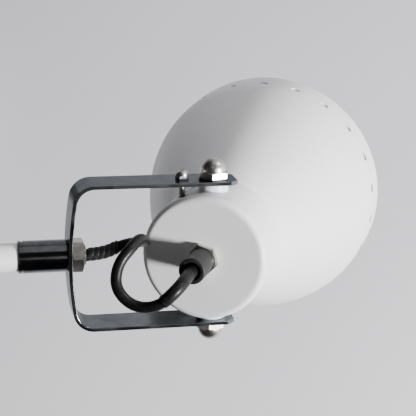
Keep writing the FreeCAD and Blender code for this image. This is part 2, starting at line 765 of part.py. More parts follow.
def yoke_fasteners():
    web_inner = -number("yoke_length + yoke_bow - strip_thick") + 0.25
    nut = hexagon("web", "yoke_nut_flats", "yoke_nut_thick", "nipple_dia")
    nut.Placement = FreeCAD.Placement(V(web_inner, 0, 0), FreeCAD.Rotation(Y_AXIS, 90))
    node(wrapped("yoke_nut_in_place", [nut]), "yoke_nut", YOKE)

    under_head = "yoke_half + stop_nut_thick"
    screw = turned("stop_screw", [
        ("0", "stop_depth"),
        ("stop_dia / 2", "stop_depth"),
        ("stop_dia / 2", under_head),
        ("stop_head_dia / 2", under_head),
        ("stop_head_dia / 2", under_head + " + 0.8", "3.1"),
        ("0.9", under_head + " + stop_head_high"),
        ("0.7", under_head + " + stop_head_high - 1"),
        ("0", under_head + " + stop_head_high - 1"),
    ])
    screw.Placement = FreeCAD.Placement(V(-number("stop_radius"), 0, 0), ALONG_Y)
    node(wrapped("stop_screw_in_place", [screw]), "tilt_stop_screw", YOKE)
    nut = hexagon("stop", "stop_nut_flats", "stop_nut_thick", "stop_dia")
    nut.Placement = FreeCAD.Placement(V(-number("stop_radius"), number("yoke_half"), 0), ALONG_Y)
    node(wrapped("stop_nut_in_place", [nut]), "tilt_stop_nut", YOKE)


# ---- head --------------------------------------------------------------------------------


def lamp_cup():
    radius = "cup_dia / 2"
    inner = "cup_dia / 2 - cup_wall"
    cup = turned("cup", [
        (inner, "0 - cup_front"),
        (radius + " - seam_groove", "0 - cup_front"),
        (radius, "0 - cup_front + seam_groove"),
        (radius, "cup_back - cup_round", "cup_round"),
        (radius + " - cup_round", "cup_back"),
        ("5.1", "cup_back"),
        ("5.1", "cup_back - cup_wall"),
        (radius + " - cup_round", "cup_back - cup_wall", "left cup_round - cup_wall"),
        (inner, "cup_back - cup_round"),
    ])
    pocket(cup, ring_of(cup, "XZ_Plane", "0", "0", "pin_dia + 0.2"))
    node(combine("Cut", "cup_slotted", cup, stop_slot()), "lamp_cup", HEAD)


def stop_slot():
    """Bent slot round the tilt pin that the stop screw runs in, on the +Y side of the cup."""
    radius = number("stop_radius")
    half = number("stop_slot") / 2
    middle = 180 - number("arm_slope")

    def point(distance, angle):
        turn = math.radians(angle)
        return V(distance * math.cos(turn), 20, distance * math.sin(turn))

    start = middle - number("slot_back")
    finish = middle + number("slot_front")
    centre = (start + finish) / 2
    over = math.degrees(half / radius)
    edges = [
        Part.Arc(point(radius + half, start), point(radius + half, centre), point(radius + half, finish)),
        Part.Arc(point(radius + half, finish), point(radius, finish + over), point(radius - half, finish)),
        Part.Arc(point(radius - half, finish), point(radius - half, centre), point(radius - half, start)),
        Part.Arc(point(radius - half, start), point(radius, start - over), point(radius + half, start)),
    ]
    wire = Part.Wire([edge.toShape() for edge in edges])
    slot = doc.addObject("Part::Feature", "stop_slot")
    slot.Shape = Part.Face(wire).extrude(V(0, 15, 0))
    return slot


def lamp_shade():
    """Spun bell. Its neck turns in to a flange that the lampholder's ring clamps."""
    wall = "shade_wall"
    shade = turned("shade", [
        ("holder_dia / 2 + 0.3", "0 - cup_front"),
        ("cup_dia / 2", "0 - cup_front", "left bell_radius"),
        ("shade_shoulder_dia / 2", "0 - shade_shoulder", "left shoulder_radius"),
        ("shade_skirt_dia / 2", "0 - shade_skirt"),
        ("shade_rim_dia / 2", "0 - shade_rim"),
        ("shade_rim_dia / 2 - " + wall, "0 - shade_rim"),
        ("shade_skirt_dia / 2 - " + wall, "0 - shade_skirt", "shoulder_radius - shade_wall"),
        ("shade_shoulder_dia / 2 - 0.87", "0 - shade_shoulder - 0.23", "bell_radius - shade_wall"),
        ("cup_dia / 2 - 1.05", "0 - cup_front - " + wall),
        ("holder_dia / 2 + 0.3", "0 - cup_front - " + wall),
    ])
    doc.recompute()
    before = shade.Shape.Volume
    hole = shade.newObject("PartDesign::Pocket", "Vent")
    hole.Profile = ring_of(shade, "XZ_Plane", "0", "0 - vent_height", "vent_dia")
    hole.Type = 1
    doc.recompute()
    if shade.Shape.Volume > before - 0.1:
        hole.Reversed = True
    vents = shade.newObject("PartDesign::PolarPattern", "Vents")
    vents.Originals = [hole]
    vents.Axis = (hole.Profile[0], ["V_Axis"])
    vents.Angle = 360
    bind(vents, "Occurrences", "vent_count")
    shade.Tip = vents
    doc.recompute()
    lost = (before - shade.Shape.Volume) / (number("vent_count") * math.pi * number("vent_dia") ** 2 / 4)
    print("wall through one vent hole: %.2f mm" % lost)
    node(shade, "lamp_shade", HEAD)


def pivot_hardware():
    gap = "acorn_face_gap"
    node(acorn_pair("pivot", "yoke_half", gap, -19), "pivot_acorn_nuts", HEAD)
    stud = turned("pivot_stud", [
        ("0", "22.5"),
        ("6.5", "22.5"),
        ("6.5", "25.5"),
        ("pin_dia / 2", "27"),
        ("pin_dia / 2", "yoke_half + acorn_height - 3"),
        ("0", "yoke_half + acorn_height - 3"),
    ])
    stud.Placement = FreeCAD.Placement(V(0, 0, 0), ALONG_Y)
    node(mirrored_pair("pivot_stud", stud), "pivot_studs", HEAD)
    leg = number("yoke_half - strip_thick") - number(gap)
    disc = tube("saddle_disc", "pin_dia", "washer_dia", "0", "8")
    disc.Placement = FreeCAD.Placement(V(0, leg - 8, 0), ALONG_Y)
    wall = rod("saddle_wall", "cup_dia", "40", frame(0, 0, -20))
    saddle = combine("Cut", "saddle", disc, wall)
    node(mirrored_pair("saddle", saddle), "pivot_washers", HEAD)


def gland():
    face = "cup_back"
    top = "gland_mouth"
    body = turned("gland_body", [
        ("0", top + " - 6"),
        ("lead_dia / 2 + 0.3", top + " - 6"),
        ("lead_dia / 2 + 0.3", "4.5"),
        ("4.9", "4.5"),
        ("4.9", face + " + gland_nut"),
        ("gland_dia / 2", face + " + gland_nut"),
        ("gland_dia / 2", top + " - 0.8", "0.8"),
        ("gland_dia / 2 - 0.8", top),
        ("gland_dia / 2 - 1.7", top),
        ("lead_dia / 2 + 0.9", top + " - 5"),
        ("0", top + " - 5"),
    ])
    node(body, "cable_gland", HEAD)
    nut = hexagon("gland", "gland_flats", "gland_nut", "9.8")
    nut.Placement = frame(0, 0, number("cup_back"), V(0, 0, 1), -14)
    node(wrapped("gland_nut_in_place", [nut]), "gland_locknut", HEAD)
    node(hexagon_inside(), "gland_inner_nut", HEAD)


def hexagon_inside():
    """Nut inside the cup that holds the gland and the lampholder's strap."""
    nut = hexagon("inner", "gland_flats", "3", "9.8")
    nut.Placement = frame(0, 0, number("cup_back - cup_wall") - 4.5)
    return wrapped("inner_nut_in_place", [nut])


def lampholder():
    """Strap, insulating body with its skirt, shade ring and centre contact."""
    strap = tube("strap", "10", "holder_dia - 6", "cup_back - cup_wall - 1.5", "cup_back - cup_wall")
    node(strap, "holder_strap", HEAD)
    body = turned("holder", [
        ("0", "3.6"),
        ("holder_dia / 2 - 4", "3.6"),
        ("holder_dia / 2 - 1", "0.6"),
        ("holder_dia / 2 - 1", "0 - cup_front + 2"),
        ("holder_dia / 2 + 1.6", "0 - cup_front + 2"),
        ("holder_dia / 2 + 1.6", "0 - cup_front"),
        ("holder_dia / 2", "0 - cup_front"),
        ("holder_dia / 2", "0 - cup_front - 14"),
        ("14.2", "0 - cup_front - 14"),
        ("14.2", "-10"),
        ("0", "-10"),
    ])
    node(body, "lampholder_body", HEAD)
    ring = turned("ring", [
        ("holder_dia / 2 + 0.05", "0 - cup_front - shade_wall - 7"),
        ("holder_dia / 2 + 2.4", "0 - cup_front - shade_wall - 7"),
        ("holder_dia / 2 + 2.4", "0 - cup_front - shade_wall - 1.6"),
        ("holder_dia / 2 + 5", "0 - cup_front - shade_wall - 1.6"),
        ("holder_dia / 2 + 5", "0 - cup_front - shade_wall"),
        ("holder_dia / 2 + 0.05", "0 - cup_front - shade_wall"),
    ])
    node(ring, "shade_ring", HEAD)
    contact = turned("contact", [("0", "-12.4"), ("2.5", "-12.4"), ("4.5", "-10"), ("0", "-10")])
    node(contact, "holder_contact", HEAD)


def bulb():
    """Cap, then a pear-shaped glass."""
    cap = turned("cap", [
        ("0", "-12.6"),
        ("4", "-12.6"),
        ("7", "-14.6"),
        ("12.9", "-16"),
        ("13.2", "-36"),
        ("14.4", "-39"),
        ("0", "-39"),
    ])
    node(cap, "bulb_cap", HEAD)
    glass = turned("glass", [
        ("0", "-39"),
        ("14", "-39", "55"),
        ("bulb_dia / 2 - 1.5", "-78", "left 30"),
        ("bulb_dia / 2 - 1.5", "-96", "left 30"),
        ("2.5", "-117.3"),
        ("0", "-117.3"),
    ])
    node(glass, "bulb_glass", HEAD)


# ---- head cable --------------------------------------------------------------------------


def rounded_path(points):
    """Straight runs joined by tangent arcs, each as large as its two runs allow."""
    edges = []
    radii = []
    start = points[0]
    for before, corner, after in zip(points, points[1:], points[2:]):
        back = before - corner
        onward = after - corner
        half_turn = (math.pi - back.getAngle(onward)) / 2
        radius = 0.45 * min(back.Length, onward.Length) / math.tan(half_turn)
        reach = radius * math.tan(half_turn)
        enter = corner + back.normalize() * reach
        leave = corner + onward.normalize() * reach
        inward = (back + onward).normalize()
        middle = corner + inward * (radius / math.cos(half_turn) - radius)
        edges.append(Part.LineSegment(start, enter).toShape())
        edges.append(Part.Arc(enter, middle, leave).toShape())
        radii.append(radius)
        start = leave
    edges.append(Part.LineSegment(start, points[-1]).toShape())
    return Part.Wire(edges), radii


def swept(path, diameter):
    direction = path.Edges[0].tangentAt(path.Edges[0].FirstParameter)
    start = path.Edges[0].valueAt(path.Edges[0].FirstParameter)
    circle = Part.Wire(Part.Circle(start, direction, diameter / 2).toShape())
    return path.makePipeShell([circle], True, False)


def head_cable():
    points = [YOKE.multVec(V(*point)) for point in CABLE_ROUTE]
    path, radii = rounded_path(points)
    diameter = number("lead_dia")
    solid = swept(path, diameter)
    share = solid.Volume / (math.pi * diameter**2 / 4 * path.Length)
    print("cable %.1f mm long, volume %.4f of its section times length" % (path.Length, share))
    print("cable arc radii:", ", ".join("%.1f" % radius for radius in radii))
    for point in points:
        print("  cable point %.1f %.1f %.1f" % tuple(point))
    cable = doc.addObject("Part::Feature", "cable")
    cable.Shape = solid
    node(cable, "head_cable", ORIGIN)
    cable_sleeve("ribbed", points[:4], "sleeve_dia", "ribbed_sleeve", number("sleeve_length"))
    cable_sleeve("boot", points[:-6:-1], "boot_dia", "gland_boot", number("boot_length"))


def cable_sleeve(name, points, diameter, label, last):
    """A sleeve round one end of the cable, from just past that end to this distance from it."""
    first = 0.2
    path, _ = rounded_path(points)
    whole = swept(path, number(diameter))
    core = swept(path, number("lead_dia"))
    start = points[0]
    way = (points[1] - points[0]).normalize()
    near = Part.makeCylinder(20, last - first, start + way * first, way)
    sleeve = doc.addObject("Part::Feature", name)
    sleeve.Shape = whole.cut(core).common(near)
    node(sleeve, label, ORIGIN)


# ---- build, check and write --------------------------------------------------------------


def check_and_write():
    doc.recompute()
    for item in doc.Objects:
        if "Invalid" in item.State or "Error" in item.State:
            user = item.InList[0].Label if item.InList else "nothing"
            raise RuntimeError("%s, used by %s, did not recompute: %s" % (item.Label, user, item.State))
    for item in NODES:
        if item.Shape.isNull() or not item.Shape.isValid() or not item.Shape.Solids:
            raise RuntimeError("%s has no valid solid" % item.Label)
    os.makedirs("parts", exist_ok=True)
    for item in NODES:
        item.Shape.exportStep(os.path.join("parts", item.Label + ".step"))
    print("%d nodes written" % len(NODES))


base_cover()
base_inside()
mains_inlet()
switch()
swivel_stem()
fork("shoulder_fork", SHOULDER, False)
tongue("shoulder_tongue", LOWER)
hinge_hardware("shoulder", SHOULDER)
arms()
fork("elbow_fork", along(LOWER, number("lower_length")), True)
tongue("elbow_tongue", UPPER)
hinge_hardware("elbow", along(LOWER, number("lower_length")))
yoke_bracket()
yoke_fasteners()
lamp_cup()
lamp_shade()
pivot_hardware()
gland()
lampholder()
bulb()
head_cable()
check_and_write()
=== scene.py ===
import json
import math

import bpy
from mathutils import Matrix, Vector


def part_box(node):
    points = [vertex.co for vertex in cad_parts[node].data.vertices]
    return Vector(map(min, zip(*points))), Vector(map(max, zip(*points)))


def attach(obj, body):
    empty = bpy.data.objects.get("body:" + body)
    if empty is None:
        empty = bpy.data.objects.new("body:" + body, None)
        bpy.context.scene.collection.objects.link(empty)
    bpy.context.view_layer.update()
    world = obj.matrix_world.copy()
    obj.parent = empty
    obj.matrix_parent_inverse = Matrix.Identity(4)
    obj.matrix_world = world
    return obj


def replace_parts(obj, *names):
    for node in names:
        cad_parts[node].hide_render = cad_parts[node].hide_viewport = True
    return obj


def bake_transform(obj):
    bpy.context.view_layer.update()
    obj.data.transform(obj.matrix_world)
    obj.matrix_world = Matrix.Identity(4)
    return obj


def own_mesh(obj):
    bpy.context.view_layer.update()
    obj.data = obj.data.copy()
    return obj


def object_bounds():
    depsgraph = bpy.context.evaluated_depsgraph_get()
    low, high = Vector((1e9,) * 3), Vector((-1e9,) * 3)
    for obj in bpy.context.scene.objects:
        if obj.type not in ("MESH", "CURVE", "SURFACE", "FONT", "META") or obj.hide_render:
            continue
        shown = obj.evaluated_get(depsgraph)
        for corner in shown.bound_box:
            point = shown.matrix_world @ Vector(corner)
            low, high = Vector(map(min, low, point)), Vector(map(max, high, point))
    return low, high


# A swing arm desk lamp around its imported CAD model. Metres, +Z up, origin under the base.
# Places near the head are given in the yoke's own axes: along the upper arm, along the tilt
# pin, and away from both.

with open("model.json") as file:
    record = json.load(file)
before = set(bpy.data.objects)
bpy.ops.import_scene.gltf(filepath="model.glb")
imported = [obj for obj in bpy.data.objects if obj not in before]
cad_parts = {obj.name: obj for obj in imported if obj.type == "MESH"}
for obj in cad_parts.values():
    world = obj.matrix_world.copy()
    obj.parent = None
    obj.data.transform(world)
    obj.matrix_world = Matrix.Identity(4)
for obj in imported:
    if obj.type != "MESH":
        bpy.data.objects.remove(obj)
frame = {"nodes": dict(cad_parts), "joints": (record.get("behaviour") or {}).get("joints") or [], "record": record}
cad_low, cad_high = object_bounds()

NODES = frame["nodes"]
JOINTS = {joint["name"]: joint for joint in frame["joints"]}
SLOT_OF = {part["node"]: part["material_slot"] for part in frame["record"]["subparts"]}

TILT_PIN = Vector(JOINTS["head_tilt"]["pos_m"])
ARM = Vector(JOINTS["yoke_swivel"]["axis"]).normalized()
PIN = Vector((0.0, 1.0, 0.0))
AWAY = ARM.cross(PIN)


def yoke_point(along, across, away):
    """A place given in the yoke's axes from the tilt pin, as a place in the frame."""
    return TILT_PIN + ARM * along + PIN * across + AWAY * away


# ---- camera and lights -------------------------------------------------------------------

CAMERA_FROM_PIN = Vector((0.1284, 0.1610, 0.5364))
CAMERA_BACK = Vector((0.22926, 0.24800, 0.94167)).normalized()
CAMERA_UP = Vector((-0.07959, 0.96900, -0.23583))
FOCAL_LENGTH = 106.1
SENSOR_WIDTH = 36.0

# Name, place from the tilt pin, diameter in metres, and power in watts. All face the tilt pin.
LIGHTS = [
    ("key", (1.97, -0.17, 0.76), 0.34, 150.0),
    ("wall", (0.50, 1.47, 0.34), 1.45, 3.4),
    ("upper_wall", (0.15, 0.90, 1.35), 0.70, 0.55),
    ("ceiling", (1.18, 0.10, 1.46), 0.75, 1.0),
    ("side", (1.20, 1.35, 0.00), 0.55, 9.0),
    ("left_wall", (-1.45, -0.40, 1.10), 1.10, 0.80),
]
WORLD_COLOUR = (0.92, 0.95, 1.0, 1.0)
WORLD_STRENGTH = 0.016


def make_camera():
    """The photograph's view of the lamp head, with everything in focus."""
    right = CAMERA_UP.cross(CAMERA_BACK).normalized()
    turn = Matrix((right, CAMERA_BACK.cross(right), CAMERA_BACK)).transposed()
    data = bpy.data.cameras.new("camera")
    data.lens = FOCAL_LENGTH
    data.sensor_width = SENSOR_WIDTH
    camera = bpy.data.objects.new("camera", data)
    camera.matrix_world = Matrix.Translation(TILT_PIN + CAMERA_FROM_PIN) @ turn.to_4x4()
    bpy.context.scene.collection.objects.link(camera)
    bpy.context.scene.camera = camera


def area_light(name, offset, size, watts):
    """A round lamp that faces the tilt pin from that far away."""
    data = bpy.data.lights.new(name, "AREA")
    data.shape = "DISK"
    data.size = size
    data.energy = watts
    light = bpy.data.objects.new(name, data)
    light.location = TILT_PIN + Vector(offset)
    light.rotation_euler = (-Vector(offset)).to_track_quat("-Z", "Y").to_euler()
    bpy.context.scene.collection.objects.link(light)


def make_lights():
    """A strong small lamp low on the right, a weak one further round, and dim panels that show
    mostly as reflections in the metal."""
    for name, offset, size, watts in LIGHTS:
        area_light(name, offset, size, watts)
    world = bpy.data.worlds.new("world")
    world.use_nodes = True
    sky = world.node_tree.nodes["Background"]
    sky.inputs["Color"].default_value = WORLD_COLOUR
    sky.inputs["Strength"].default_value = WORLD_STRENGTH
    bpy.context.scene.world = world


# ---- materials ---------------------------------------------------------------------------


class Finish:
    """One node-based material, with short ways to add noise, colour and bump to it."""

    def __init__(self, name, **constants):
        self.material = bpy.data.materials.new(name)
        self.material.use_nodes = True
        self.tree = self.material.node_tree
        self.shader = self.tree.nodes["Principled BSDF"]
        self.place = self.add("ShaderNodeTexCoord").outputs["Object"]
        for socket, value in constants.items():
            self.shader.inputs[socket.replace("_", " ")].default_value = value

    def add(self, kind, **settings):
        """A new node with these settings."""
        item = self.tree.nodes.new(kind)
        for key, value in settings.items():
            setattr(item, key, value)
        return item

    def join(self, source, target):
        """A link from one node's output to another's input."""
        self.tree.links.new(source, target)

    def scaled(self, scale, turn=(0.0, 0.0, 0.0)):
        """The object's own coordinates, turned and then scaled along each axis."""
        turned = self.add("ShaderNodeMapping")
        turned.inputs["Rotation"].default_value = turn
        self.join(self.place, turned.inputs["Vector"])
        stretched = self.add("ShaderNodeMapping")
        stretched.inputs["Scale"].default_value = scale
        self.join(turned.outputs["Vector"], stretched.inputs["Vector"])
        return stretched.outputs["Vector"]

    def noise(self, size, detail=3.0, where=None):
        """Noise whose features are about this size, in metres, or one unit of where."""
        item = self.add("ShaderNodeTexNoise")
        item.inputs["Scale"].default_value = 1.0 / size
        item.inputs["Detail"].default_value = detail
        self.join(where or self.place, item.inputs["Vector"])
        return item.outputs["Fac"]

    def cells(self, size):
        """A Voronoi node whose cells are about this size, in metres."""
        item = self.add("ShaderNodeTexVoronoi")
        item.inputs["Scale"].default_value = 1.0 / size
        self.join(self.place, item.inputs["Vector"])
        return item

    def between(self, source, low, high, start=0.3, end=0.7):
        """The value low where source is at start, and high where it is at end."""
        item = self.add("ShaderNodeMapRange")
        for key, value in (("From Min", start), ("From Max", end), ("To Min", low), ("To Max", high)):
            item.inputs[key].default_value = value
        self.join(source, item.inputs["Value"])
        return item.outputs["Result"]

    def colours(self, source, *stops):
        """Colour from source by (position, colour) stops."""
        item = self.add("ShaderNodeValToRGB")
        ramp = item.color_ramp
        while len(ramp.elements) < len(stops):
            ramp.elements.new(0.5)
        for element, (position, colour) in zip(ramp.elements, stops):
            element.position = position
            element.color = (*colour, 1.0)
        self.join(source, item.inputs["Fac"])
        self.join(item.outputs["Color"], self.shader.inputs["Base Color"])

    def roughness(self, source, low, high):
        """Roughness that goes from low to high as the source rises."""
        self.join(self.between(source, low, high), self.shader.inputs["Roughness"])

    def bumps(self, *layers):
        """Surface relief. A layer is (source, depth in metres, strength)."""
        normal = None
        for source, depth, strength in layers:
            item = self.add("ShaderNodeBump")
            item.inputs["Distance"].default_value = depth
            item.inputs["Strength"].default_value = strength
            self.join(source, item.inputs["Height"])
            if normal:
                self.join(normal, item.inputs["Normal"])
            normal = item.outputs["Normal"]
        self.join(normal, self.shader.inputs["Normal"])


def grey(value, warmth=0.0):
    """A grey, turned towards yellow by a warmth above zero."""
    return (value * (1 + warmth), value, value * (1 - warmth))


def powder_coat(name, shade):
    """Satin powder coat: orange peel, a finer grain and very faint mottling."""
    finish = Finish(name, Coat_Weight=0.12, Coat_Roughness=0.22)
    mottle = finish.noise(0.02, 2.0)
    finish.colours(mottle, (0.3, grey(shade - 0.015)), (0.7, grey(shade + 0.01)))
    finish.roughness(finish.noise(0.006), 0.36, 0.46)
    peel = finish.noise(0.0014, 1.0)
    grain = finish.noise(0.0003, 2.0)
    finish.bumps((peel, 0.00012, 0.10), (grain, 0.00004, 0.12))
    return finish.material


def black_nickel():
    """Polished black nickel with faint smears and fine wiping scratches along the arm."""
    finish = Finish("dark_chrome", Metallic=1.0)
    smear = finish.noise(0.004, 4.0)
    finish.colours(smear, (0.35, (0.110, 0.114, 0.118)), (0.65, (0.155, 0.158, 0.162)))
    scratches = finish.noise(1.0, 5.0, finish.scaled((900, 14000, 5000)))
    finish.roughness(scratches, 0.10, 0.22)
    finish.bumps((scratches, 0.00001, 0.10), (smear, 0.00003, 0.05))
    return finish.material


def rolled_strip():
    """Cold-rolled and plated strip: lines that run along the strip, light stains, small pits."""
    finish = Finish("steel_strip", Metallic=1.0, Specular_Tint=(0.44, 0.45, 0.46, 1.0))
    arm_slope = math.asin(-ARM.z)
    lines = finish.noise(1.0, 4.0, finish.scaled((90, 90, 9000), (0.0, -arm_slope, 0.0)))
    stains = finish.noise(0.007, 4.0)
    finish.colours(stains, (0.30, (0.17, 0.178, 0.187)), (0.70, (0.26, 0.27, 0.28)))
    finish.roughness(lines, 0.14, 0.26)
    finish.bumps((lines, 0.00002, 0.22), (finish.noise(0.0011, 2.0), 0.00002, 0.10))
    return finish.material


def nickel_plate():
    """Warm bright nickel with cloudy patches and fine scratches."""
    finish = Finish("nickel", Metallic=1.0)
    clouds = finish.noise(0.0035, 4.0)
    finish.colours(clouds, (0.30, (0.40, 0.385, 0.355)), (0.70, (0.60, 0.58, 0.545)))
    scratches = finish.noise(1.0, 4.0, finish.scaled((3000, 3000, 12000)))
    finish.roughness(scratches, 0.24, 0.40)
    finish.bumps((scratches, 0.00003, 0.25), (finish.noise(0.0009, 2.0), 0.00008, 0.20))
    return finish.material


def zinc_plate():
    """Zinc plate: bluish grey spangle with a dull clear passivation."""
    finish = Finish("zinc_steel", Metallic=1.0)
    spangle = finish.cells(0.0016).outputs["Color"]
    finish.colours(spangle, (0.2, (0.46, 0.48, 0.51)), (0.8, (0.62, 0.64, 0.67)))
    finish.roughness(finish.noise(0.0012), 0.28, 0.44)
    finish.bumps((finish.noise(0.0004), 0.00003, 0.15))
    return finish.material


def cast_iron():
    """Sand-cast iron under thin black paint, with a few rusty grains."""
    finish = Finish("cast_weight", Metallic=0.0)
    sand = finish.noise(0.0016, 6.0)
    finish.colours(sand, (0.30, grey(0.022)), (0.62, grey(0.045)), (0.85, (0.09, 0.06, 0.045)))
    finish.roughness(sand, 0.55, 0.80)
    finish.bumps((sand, 0.0005, 0.60), (finish.noise(0.006), 0.0006, 0.30))
    return finish.material


def rubber(name, shade, grain):
    """Matt rubber with a fine moulded grain and a little dust."""
    finish = Finish(name, Sheen_Weight=0.15, Sheen_Roughness=0.5)
    dust = finish.noise(0.004, 5.0)
    finish.colours(dust, (0.40, grey(shade)), (0.75, grey(shade * 2.2)))
    finish.roughness(dust, 0.62, 0.78)
    finish.bumps((finish.cells(grain).outputs["Distance"], 0.00008, 0.35))
    return finish.material


def flex_sheath():
    """Black flexible sheath: smooth, with shallow waviness, scuffs and dull patches."""
    finish = Finish("cable_black", Specular_IOR_Level=0.16, Coat_Weight=0.05, Coat_Roughness=0.10)
    scuffs = finish.noise(0.0018, 5.0)
    finish.colours(scuffs, (0.45, grey(0.004)), (0.66, grey(0.008)), (0.84, grey(0.020)))
    finish.roughness(finish.noise(0.003, 3.0), 0.34, 0.50)
    finish.bumps((finish.noise(0.0045, 2.0), 0.0002, 0.12), (finish.noise(0.0006), 0.00003, 0.15))
    return finish.material


def moulded_plastic(name, shade, low, high):
    """Moulded plastic with a fine spark-eroded texture and slight flow marks."""
    finish = Finish(name, Specular_IOR_Level=0.24)
    flow = finish.noise(0.005, 3.0)
    finish.colours(flow, (0.35, grey(shade * 0.85)), (0.70, grey(shade * 1.20)))
    finish.roughness(flow, low, high)
    finish.bumps((finish.noise(0.00025, 2.0), 0.00003, 0.25), (flow, 0.0001, 0.06))
    return finish.material


def milky_nylon():
    """Unfilled nylon: milky, with light that goes a little way in."""
    finish = Finish("nylon", Subsurface_Weight=0.35, Subsurface_Scale=0.002)
    clouds = finish.noise(0.003, 3.0)
    finish.colours(clouds, (0.35, (0.66, 0.70, 0.76)), (0.70, (0.76, 0.79, 0.84)))
    finish.roughness(clouds, 0.30, 0.42)
    finish.bumps((finish.noise(0.0005), 0.00003, 0.15))
    return finish.material


def white_gloss():
    """Glossy warm white plastic with faint flow marks."""
    finish = Finish("button_plastic", Subsurface_Weight=0.1, Subsurface_Scale=0.001, Coat_Weight=0.3)
    flow = finish.noise(0.004, 2.0)
    finish.colours(flow, (0.3, grey(0.76, 0.01)), (0.7, grey(0.80, 0.01)))
    finish.roughness(flow, 0.20, 0.28)
    finish.bumps((finish.noise(0.0008), 0.00002, 0.10))
    return finish.material


def phenolic():
    """Black-brown phenolic moulding with faint swirls of filler."""
    finish = Finish("bakelite", Coat_Weight=0.25, Coat_Roughness=0.15)
    swirl = finish.add("ShaderNodeTexWave", wave_type="BANDS")
    for key, value in (("Scale", 60.0), ("Distortion", 9.0), ("Detail", 4.0)):
        swirl.inputs[key].default_value = value
    finish.join(finish.place, swirl.inputs["Vector"])
    finish.colours(swirl.outputs["Fac"], (0.2, (0.010, 0.009, 0.008)), (0.9, (0.028, 0.020, 0.016)))
    finish.roughness(finish.noise(0.002), 0.18, 0.30)
    finish.bumps((finish.noise(0.0007), 0.00003, 0.12))
    return finish.material


def brass():
    """Sheet brass with patches of tarnish."""
    finish = Finish("brass_contact", Metallic=1.0)
    tarnish = finish.noise(0.0015, 4.0)
    finish.colours(tarnish, (0.35, (0.46, 0.31, 0.13)), (0.65, (0.80, 0.58, 0.26)))
    finish.roughness(tarnish, 0.22, 0.42)
    finish.bumps((finish.noise(0.0003), 0.00002, 0.15))
    return finish.material


def frosted_glass():
    """Opal-coated glass: white inside a thin clear shell."""
    finish = Finish("bulb_glass", Subsurface_Weight=0.4, Subsurface_Scale=0.004, Coat_Weight=0.8,
                    Coat_Roughness=0.06, IOR=1.5)
    coat = finish.noise(0.01, 3.0)
    finish.colours(coat, (0.3, (0.78, 0.78, 0.76)), (0.7, (0.84, 0.84, 0.82)))
    finish.roughness(coat, 0.38, 0.50)
    finish.bumps((finish.noise(0.004, 1.0), 0.00008, 0.10))
    return finish.material


def rolled_aluminium():
    """Rolled aluminium sheet, patchy and slightly dull."""
    finish = Finish("bulb_metal", Metallic=1.0)
    patches = finish.noise(0.003, 4.0)
    finish.colours(patches, (0.3, grey(0.58)), (0.7, grey(0.72)))
    finish.roughness(patches, 0.24, 0.38)
    finish.bumps((finish.noise(0.0006), 0.00003, 0.20))
    return finish.material


# Painted shade on the backdrop: half the span in Y over which it goes from light to dark.
PAINTED_SHADE_FADE = 0.35
PAPER_MOTTLE = 0.08


def floor_paper():
    """Matt backdrop paper, slightly mottled, with painted shade that darkens it along +Y over twice
    PAINTED_SHADE_FADE.
    """
    finish = Finish("backdrop")
    sweep = finish.add("ShaderNodeSeparateXYZ")
    finish.join(finish.place, sweep.inputs["Vector"])
    mottle_and_painted_shade = finish.add("ShaderNodeMath", operation="MULTIPLY_ADD")
    finish.join(finish.noise(0.25, 2.0), mottle_and_painted_shade.inputs[0])
    mottle_and_painted_shade.inputs[1].default_value = PAPER_MOTTLE
    # Painted shade: the colour darkens towards +Y. The noise above is the paper's real mottling.
    fade = finish.between(sweep.outputs["Y"], 0, 1, -PAINTED_SHADE_FADE, PAINTED_SHADE_FADE)
    finish.join(fade, mottle_and_painted_shade.inputs[2])
    finish.colours(mottle_and_painted_shade.outputs["Value"], (0.0, (0.94, 0.94, 0.975)), (1.0, (0.50, 0.50, 0.535)))
    finish.roughness(finish.noise(0.002), 0.75, 0.90)
    finish.bumps((finish.noise(0.0012), 0.0001, 0.08))
    return finish.material


def make_materials():
    """One material for each slot of the record, by the slot's name."""
    return {
        "white_paint": powder_coat("white_paint", 0.80),
        "white_cup": powder_coat("white_cup", 0.79),
        "dark_chrome": black_nickel(),
        "steel_strip": rolled_strip(),
        "nickel": nickel_plate(),
        "zinc_steel": zinc_plate(),
        "cast_weight": cast_iron(),
        "rubber_pad": rubber("rubber_pad", 0.016, 0.0007),
        "cable_black": flex_sheath(),
        "black_plastic": moulded_plastic("black_plastic", 0.014, 0.42, 0.55),
        "nylon": milky_nylon(),
        "button_plastic": white_gloss(),
        "bakelite": phenolic(),
        "brass_contact": brass(),
        "bulb_glass": frosted_glass(),
        "bulb_metal": rolled_aluminium(),
    }


# ---- mesh helpers ------------------------------------------------------------------------


def add_mesh(name, points, faces, slot_name, body=None):
    """A smooth mesh with its slot's material, riding on a body when one is given."""
    mesh = bpy.data.meshes.new(name)
    mesh.from_pydata([tuple(point) for point in points], [], faces)
    mesh.update()
    mesh.shade_smooth()
    mesh.materials.append(MATERIALS[slot_name])
    piece = bpy.data.objects.new(name, mesh)
    bpy.context.scene.collection.objects.link(piece)
    if body:
        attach(piece, body)
    return piece


def nurbs_line(points, steps):
    """Points along the one NURBS spline that has these control points."""
    curve = bpy.data.curves.new("line", "CURVE")
    curve.dimensions = "3D"
    curve.resolution_u = steps
    spline = curve.splines.new("NURBS")
    spline.points.add(len(points) - 1)
    for item, point in zip(spline.points, points):
        item.co = (*point, 1.0)
    spline.order_u = 3
    spline.use_endpoint_u = True
    holder = bpy.data.objects.new("line", curve)
    mesh = bpy.data.meshes.new_from_object(holder)
    line = [vertex.co.copy() for vertex in mesh.vertices]
    bpy.data.objects.remove(holder)
    bpy.data.meshes.remove(mesh)
    return line


